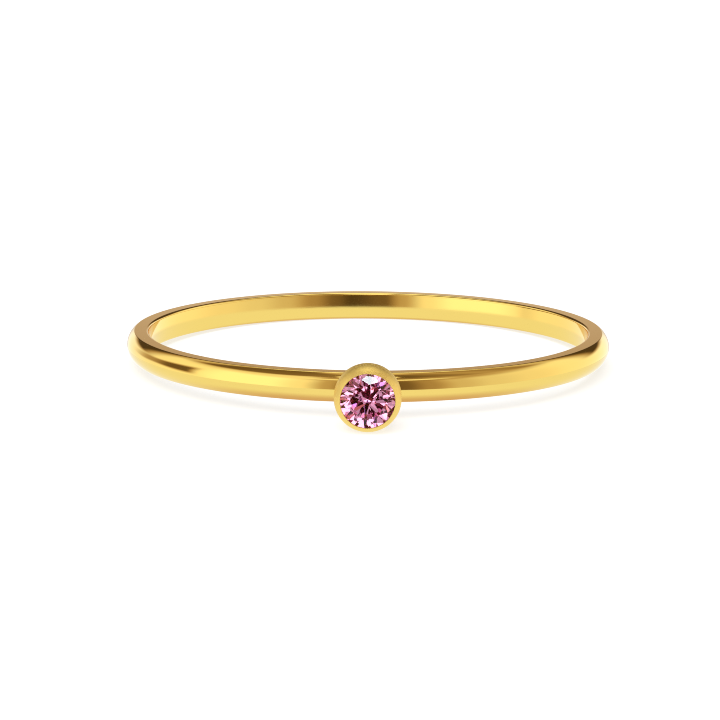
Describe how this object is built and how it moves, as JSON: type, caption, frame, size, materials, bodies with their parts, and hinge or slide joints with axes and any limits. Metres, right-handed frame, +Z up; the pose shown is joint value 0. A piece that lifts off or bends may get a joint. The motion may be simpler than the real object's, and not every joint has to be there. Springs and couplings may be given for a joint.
{
  "type": "stackable ring",
  "caption": "Thin gold stacking ring with a D-profile band and one small round brilliant-cut pink stone in a soldered bezel cup.",
  "frame": {"origin": "centre of the finger hole, halfway through the band's width", "axes": "+Z up with the ring lying on its side, -Y towards the bezel and the stone, X across the ring; the finger hole's axis leans from +Z towards +Y by the ring's own resting tilt of 1.93 degrees"},
  "size_m": [0.019, 0.0214, 0.0025],
  "materials": {
    "gold": "polished yellow gold on the band, fine satin on the bezel's rim",
    "gemstone": "clear pink, polished facets"
  },
  "bodies": {
    "root": {"band_with_bezel": "gold", "stone": "gemstone"}
  },
  "joints": []
}
